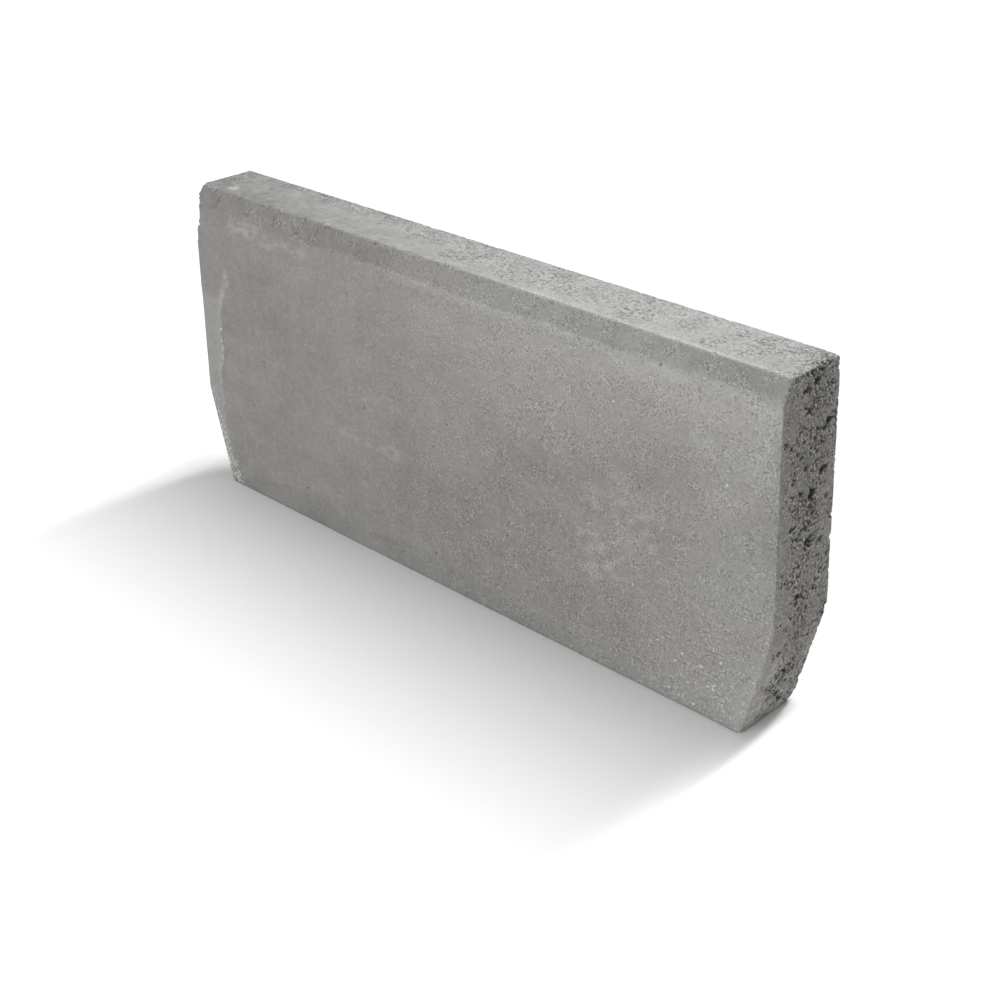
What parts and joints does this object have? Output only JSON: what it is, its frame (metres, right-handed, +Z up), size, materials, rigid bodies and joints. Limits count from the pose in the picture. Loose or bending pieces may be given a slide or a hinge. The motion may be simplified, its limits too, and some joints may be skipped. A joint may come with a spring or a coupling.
{
  "type": "concrete kerb stone",
  "caption": "Upright slab of pressed grey concrete that edges paths and lawns, with a bevelled top front edge and end corners cut back at the foot.",
  "frame": {"origin": "middle of the bed that the stone stands on", "axes": "+X along the stone, +Y from the front face to the back face, +Z up"},
  "size_m": [0.5, 0.05, 0.22],
  "materials": {
    "concrete": "matte"
  },
  "bodies": {
    "root": {"kerb_stone": "concrete"}
  },
  "joints": []
}
